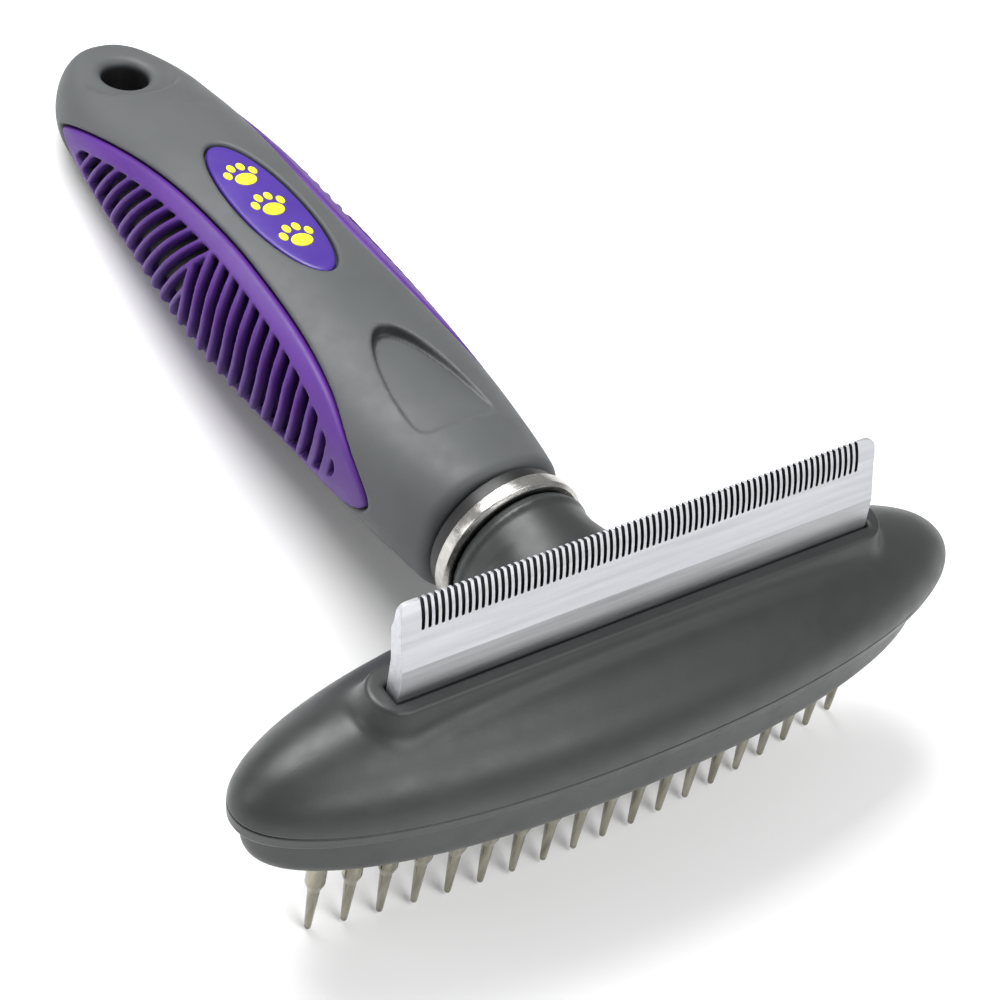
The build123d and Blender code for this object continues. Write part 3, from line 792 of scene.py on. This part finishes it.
def pin_profile():
    """Radius and height of a pin from its flange to its rounded tip."""
    length = PIN_REACH / math.cos(PIN_LEAN)
    outline = [
        (0.0, PIN_FLANGE_TOP),
        (PIN_FLANGE_R, PIN_FLANGE_TOP),
        (PIN_FLANGE_R, PIN_FLANGE_FOOT),
        (PIN_COLLAR_R, PIN_FLANGE_FOOT),
        (PIN_COLLAR_R, PIN_COLLAR_END),
        (PIN_STEM_R, PIN_STEM_START),
        (PIN_TIP_R, -length + 0.7),
    ]
    body = rounded(outline, 0.22, 3)[4:]
    tip = []
    for angle in np.linspace(0, math.pi / 2, 6):
        tip.append((PIN_POINT_R * math.cos(angle), -length + PIN_POINT_R - PIN_POINT_R * math.sin(angle)))
    return [(0.0, PIN_FLANGE_TOP)] + body + tip


def make_pins():
    """One turned pin on each pin's own body."""
    points, faces = turned(pin_profile(), 32)
    for body, place in pin_frames():
        name = body.replace("rake_pin", "turned_pin")
        thing = piece(name, points, faces, place, "pin_steel", body=body, replaces=[body])
        weld = thing.modifiers.new("axis", "WELD")
        weld.merge_threshold = 0.01 * MM


def on_axis(profile):
    """The handle's frame turned so that a lathe form's Z runs along the handle."""
    points, faces = turned(profile, 160)
    return [(x, z, -y) for x, y, z in points], faces


def make_collar():
    """The bevelled ring, and the spacer whose sleeve runs through it."""
    ring = [
        (COLLAR_BORE_R, RING_START),
        (RING_R - 0.7, RING_START),
        (RING_R, RING_START + RING_BEVEL),
        (RING_R, RING_END),
        (COLLAR_BORE_R, RING_END),
    ]
    points, faces = on_axis(rounded(ring, 0.18))
    piece("polished_collar", points, faces, HANDLE, "polished_ring", replaces=["collar_ring"])
    spacer = [
        (SPACER_BORE_R, SPACER_START),
        (SPACER_SLEEVE_R, SPACER_START),
        (SPACER_SLEEVE_R, SPACER_STEP),
        (SPACER_R, SPACER_STEP),
        (SPACER_R, SPACER_END),
        (SPACER_BORE_R, SPACER_END),
    ]
    points, faces = on_axis(rounded(spacer, 0.3))
    # Painted shade: the whole spacer darkened towards near black
    painted_shade = np.full(len(points), SPACER_PAINTED_SHADE)
    piece("spacer_collar", points, faces, HANDLE, "head_plastic", replaces=["collar_spacer"], painted_shade=painted_shade)


# ---------------------------------------------------------------- handle


def station_curve(column):
    """A smooth curve through one column of the handle's stations."""
    where = np.array([station[0] for station in HANDLE_STATIONS])
    value = np.array([station[column] for station in HANDLE_STATIONS])
    slope = np.gradient(value, where)

    def curve(s):
        s = np.clip(s, where[0], where[-1])
        i = np.clip(np.searchsorted(where, s) - 1, 0, len(where) - 2)
        gap = where[i + 1] - where[i]
        t = (s - where[i]) / gap
        start = value[i] * (2 * t ** 3 - 3 * t ** 2 + 1) + value[i + 1] * (3 * t ** 2 - 2 * t ** 3)
        return start + gap * (slope[i] * (t ** 3 - 2 * t ** 2 + t) + slope[i + 1] * (t ** 3 - t ** 2))

    return curve


HALF_WIDTH, TOP, UNDERSIDE = (station_curve(column) for column in (1, 2, 3))


def section(s):
    """Half width, middle and half height of the handle at a distance along it."""
    past = np.clip((s - HANDLE_CAP_START) / (HANDLE_END - HANDLE_CAP_START), 0, 0.9995)
    lower = (1 - past ** CAP_BLUNTNESS[0]) ** CAP_BLUNTNESS[1]
    past = np.clip((s - HANDLE_TAPER_START) / (HANDLE_END - HANDLE_TAPER_START), 0, 0.9995)
    narrower = np.sqrt(1 - past ** 2)
    middle = (TOP(s) + UNDERSIDE(s)) / 2
    return HALF_WIDTH(s) * narrower, middle, (TOP(s) - UNDERSIDE(s)) / 2 * lower


def handle(x, s, h):
    """Distance outside the handle's plain form."""
    wide, middle, tall = section(s)
    power = HANDLE_POWER
    radius = (np.abs(x / wide) ** power + np.abs((h - middle) / tall) ** power) ** (1 / power)
    distance = (radius - 1) * np.minimum(wide, tall)
    return np.maximum(distance, s - HANDLE_END)


def handle_top(x, s):
    """Height of the handle's top surface."""
    wide, middle, tall = section(s)
    return middle + tall * (1 - np.abs(x / wide) ** HANDLE_POWER) ** (1 / HANDLE_POWER)


def side_height(x, s, h):
    """Distance round the handle from the grip's middle line, upwards positive."""
    wide, middle, tall = section(np.minimum(s, HANDLE_CAP_START))
    angle = np.arctan2((h - middle) / tall, np.abs(x) / wide)
    lifted = GRIP_TIP_RISE * ramp((GRIP_TIP_START - s) / GRIP_TIP_REACH)
    return QUARTER_ARC * (wide + tall) * angle * 2 / math.pi + lifted


def side_oval(s, b, half_height, to_head, to_hang):
    """Distance outside an egg-shaped outline on the handle's side."""
    ahead = s < GRIP_MIDDLE
    length = np.where(ahead, to_head, to_hang)
    power = np.where(ahead, OVAL_HEAD_POWER, OVAL_HANG_POWER)
    t = np.abs(s - GRIP_MIDDLE) / length + 1e-4
    u = np.abs(b) / half_height + 1e-4
    total = t ** OVAL_LENGTH_POWER + u ** power - 1
    slope_s = OVAL_LENGTH_POWER * t ** (OVAL_LENGTH_POWER - 1) / length
    slope_b = power * u ** (power - 1) / half_height
    return total / np.sqrt(slope_s ** 2 + slope_b ** 2 + 4e-4)


def grip_outline(x, s, h):
    """Distance outside the purple inlay's outline."""
    return side_oval(s, side_height(x, s, h), GRIP_HALF_HEIGHT, GRIP_TO_HEAD, GRIP_TO_HANG)


def groove(phase, width):
    """Depth share of evenly spaced grooves: 1 on the floor, 0 on the ribs."""
    off = np.abs(phase - np.round(phase)) * GROOVE_PITCH
    return ramp((width + 0.35 - off) / 0.7)


def groove_share(x, s, h):
    """1 on the groove floors: arched towards the head, slanted towards the hanging end. It also sets the grip's
    painted shade.
    """
    b = side_height(x, s, h)
    arcs = (s - (b - ARC_MIDDLE) ** 2 / ARC_BEND - FIRST_ARC) / GROOVE_PITCH
    slants = (s + DIAGONAL_SLOPE * b - FIRST_DIAGONAL) / GROOVE_PITCH
    beyond = np.maximum(arcs - LAST_ARC, slants + 0.5) * GROOVE_PITCH
    widened = ramp((s - NARROW_UNTIL) / (WIDE_FROM - NARROW_UNTIL))
    width = NARROW_HALF_GROOVE + (DIAGONAL_HALF_GROOVE - NARROW_HALF_GROOVE) * widened
    depth = groove(arcs, width) * ramp((-beyond - 0.2) / 0.8)
    depth = depth + groove(slants, DIAGONAL_HALF_GROOVE) * ramp((beyond - 0.2) / 0.8)
    field = side_oval(s, b, RIB_HALF_HEIGHT, RIB_TO_HEAD, RIB_TO_HANG)
    return depth * ramp(-field / 1.1)


def ribbed_grip(x, s, h):
    """The inlay in its seat, its ribs shallower towards the hanging end."""
    outer = handle(x, s, h)
    body = smooth_both(outer, grip_outline(x, s, h) + GRIP_SEAM, GRIP_EDGE)
    body = np.maximum(body, -outer - GRIP_DEPTH)
    fade = 1 - 0.35 * ramp((s - 126) / 18)
    return body + GROOVE_DEPTH * fade * groove_share(x, s, h)


def top_oval(x, s, middle, half_x, half_s):
    """Distance outside an ellipse on the handle's top."""
    u, t = x / half_x, (s - middle) / half_s
    slope = 2 * np.sqrt((u / half_x) ** 2 + (t / half_s) ** 2) + 1e-3
    return (u ** 2 + t ** 2 - 1) / slope


def thumb_hollow(x, s, depth):
    """Half an ellipse with steep walls, its floor falling away from the head."""
    outline = top_oval(x, s, THUMB_START, THUMB_HALF_WIDTH, THUMB_LENGTH)
    outline = smooth_both(outline, THUMB_START - s, 3.0)
    floor = THUMB_SHALLOW + THUMB_FALL * np.clip((s - THUMB_START) / THUMB_LENGTH, 0, 1)
    return smooth_both(outline + 0.15 * depth, depth - floor, 0.4)


def thumb_wall_shade_share(x, s, h):
    """Painted shade on the thumb hollow's steep wall: how dark it is, fading towards the head."""
    outline = top_oval(x, s, THUMB_START, THUMB_HALF_WIDTH, THUMB_LENGTH)
    share = np.clip((s - THUMB_START) / THUMB_LENGTH, 0, 1)
    band = ramp((0.1 + 0.75 * share - np.abs(outline + 0.5)) / 0.4)
    return np.where(h > 0, 0.8 * band * np.sqrt(share), 0)


def hanging_pad(x, s, h):
    """The flat that surrounds the hanging hole and runs out over the end."""
    plan = smooth_union(np.hypot(x, s - HOLE_Y) - PAD_R, HOLE_Y - s, 2.0)
    return smooth_both(plan, PAD_HEIGHT - h, PAD_EDGE)


def overmold(x, s, h):
    """The grey body with its seats for grips and badge, the thumb hollow, flat and hole."""
    outer = handle(x, s, h)
    body = smooth_both(outer, HANDLE_START - s, MOUTH_ROUND)
    seat = np.maximum(grip_outline(x, s, h) - GRIP_SEAM, -outer - GRIP_DEPTH - 0.2)
    body = smooth_cut(body, seat, GRIP_EDGE)
    on_top = np.where(h > 0, 0, 50)
    pocket = top_oval(x, s, BADGE_Y, BADGE_HALF_WIDTH, BADGE_HALF_LENGTH) - 0.25
    pocket = np.maximum(pocket, BADGE_FOOT - 0.1 - outer)
    body = smooth_cut(body, pocket + on_top, 0.5)
    body = smooth_cut(body, thumb_hollow(x, s, -outer) + on_top, 0.45)
    body = smooth_cut(body, hanging_pad(x, s, h), 0.9)
    return smooth_cut(body, np.hypot(x, s - HOLE_Y) - HOLE_R, 1.8)


def hole_shade_share(x, s, h):
    """Painted shade on the hanging hole's wall: how dark it is, fading towards its upper edge."""
    in_hole = ramp((HOLE_R + 0.7 - np.hypot(x, s - HOLE_Y)) / 0.6)
    return in_hole * ramp((PAD_HEIGHT - 0.4 - h) / 1.5)


def make_handle():
    """The overmold, the left grip, and the right grip as its mirror image."""
    axes = spaced((-19.4, 19.4, 0.4)), spaced((31, 164, 0.45)), spaced((-13.4, 16.6, 0.4))
    points, faces = skin(overmold, *axes)
    # Painted shade: the hole's wall and the thumb hollow's wall darkened by the depth attribute
    painted_shade = hole_shade_share(*points.T) + thumb_wall_shade_share(*points.T)
    piece("soft_overmold", points, faces, HANDLE, "grey_grip", replaces=["handle_overmold"], painted_shade=painted_shade)
    axes = spaced((-19.2, -4, 0.3)), spaced((45, 149.6, 0.3)), spaced((-13, 16.8, 0.3))
    points, faces = skin(ribbed_grip, *axes)
    # Painted shade: the groove floors darkened by the depth attribute
    painted_shade = groove_share(*points.T)
    piece("ribbed_grip_left", points, faces, HANDLE, "purple_grip", replaces=["grip_left"], painted_shade=painted_shade)
    points, faces = points * np.array([-1, 1, 1]), faces[:, ::-1]
    piece("ribbed_grip_right", points, faces, HANDLE, "purple_grip", replaces=["grip_right"], painted_shade=painted_shade)


# ---------------------------------------------------------------- badge


def domed_disc(middle_x, middle_s, half_x, half_s, low, high, edge, rings, segments):
    """An oval disc that follows the handle's top between two depths, its edge rounded."""
    rows = [(share, high) for share in np.linspace(0, 1 - edge / half_x, rings)]
    for angle in np.linspace(0, math.pi / 2, 5)[1:]:
        inset = edge * (1 - math.sin(angle)) / half_x
        rows.append((1 - inset, high - edge * (1 - math.cos(angle))))
    rows.append((1.0, low))
    angles = np.arange(segments) * 2 * math.pi / segments
    points = []
    for share, height in rows:
        for angle in angles:
            x = middle_x + share * half_x * math.cos(angle)
            s = middle_s + share * half_s * math.sin(angle)
            points.append((x, s, float(handle_top(x, s)) + height))
    faces = []
    for row in range(len(rows) - 1):
        for i in range(segments):
            k = (i + 1) % segments
            a, b = row * segments, (row + 1) * segments
            faces.append((a + i, b + i, b + k, a + k))
    last = (len(rows) - 1) * segments
    faces.append(tuple(last + i for i in reversed(range(segments))))
    return points, faces


def joined(parts):
    """Several meshes as one."""
    points, faces = [], []
    for part_points, part_faces in parts:
        start = len(points)
        points += part_points
        faces += [tuple(start + i for i in face) for face in part_faces]
    return points, faces


def make_badge():
    """The badge plate with a row of three paw prints standing slightly proud of it."""
    half_x, half_s = BADGE_HALF_WIDTH - BADGE_GAP, BADGE_HALF_LENGTH - BADGE_GAP
    plate = domed_disc(0, BADGE_Y, half_x, half_s, BADGE_FOOT, -BADGE_SINK, BADGE_EDGE, 14, 120)
    made = [piece("badge_disc", *plate, HANDLE, "badge_plastic", replaces=["badge_plate"])]
    paws = []
    pads = [PAW_PALM] + [toe + PAW_TOE_SIZE for toe in PAW_TOES]
    for step in (-1, 0, 1):
        s = BADGE_Y + step * PAW_SPACING
        for x, ahead, half_x, half_s in pads:
            paws.append(domed_disc(x, s + ahead, half_x, half_s, PRINT_FOOT, PRINT_TOP, PRINT_EDGE, 5, 32))
    made.append(piece("paw_prints", *joined(paws), HANDLE, "badge_yellow", replaces=["badge_print"]))
    for thing in made:
        weld = thing.modifiers.new("middle", "WELD")
        weld.merge_threshold = 0.005 * MM


# ---------------------------------------------------------------- studio


def stage_floor():
    mesh = bpy.data.meshes.new("floor")
    reach = FLOOR_HALF_SIZE
    corners = [(-reach, -reach, 0), (reach, -reach, 0), (reach, reach, 0), (-reach, reach, 0)]
    mesh.from_pydata(corners, [], [(0, 1, 2, 3)])
    floor = bpy.data.objects.new("floor", mesh)
    bpy.context.scene.collection.objects.link(floor)
    paper = material("floor_paper", (0.93, 0.93, 0.93), roughness=0.35)
    vary_roughness(paper, noise(paper, 30, 2), 0.3, 0.4)
    mesh.materials.append(paper)


def soft_light(name, place, aim, size, power):
    lamp = bpy.data.lights.new(name, "AREA")
    lamp.shape = "RECTANGLE"
    lamp.size, lamp.size_y = size
    lamp.energy = power
    thing = bpy.data.objects.new(name, lamp)
    thing.location = place
    thing.rotation_euler = (Vector(aim) - Vector(place)).to_track_quat("-Z", "Y").to_euler()
    bpy.context.scene.collection.objects.link(thing)


def light_studio():
    world = bpy.data.worlds.new("studio")
    world.use_nodes = True
    background = world.node_tree.nodes["Background"]
    background.inputs["Color"].default_value = (1, 1, 1, 1)
    background.inputs["Strength"].default_value = WORLD_STRENGTH
    bpy.context.scene.world = world
    for lamp in LAMPS:
        soft_light(*lamp)
    bpy.context.scene.view_settings.view_transform = "Standard"


def place_camera():
    camera = bpy.data.cameras.new("camera")
    camera.lens = CAMERA_LENS
    camera.sensor_width = 36
    camera.clip_start = 0.01
    right, up = Vector(CAMERA_RIGHT), Vector(CAMERA_UP)
    turn = Matrix((right, up, right.cross(up))).transposed()
    thing = bpy.data.objects.new("camera", camera)
    rotation = TOOL.to_3x3().normalized() @ turn
    thing.matrix_world = Matrix.Translation(TOOL @ Vector(CAMERA_PLACE)) @ rotation.to_4x4()
    bpy.context.scene.collection.objects.link(thing)
    bpy.context.scene.camera = thing


paint_kept_nodes()
make_head()
make_blade()
make_pins()
make_collar()
make_handle()
make_badge()
stage_floor()
light_studio()
place_camera()
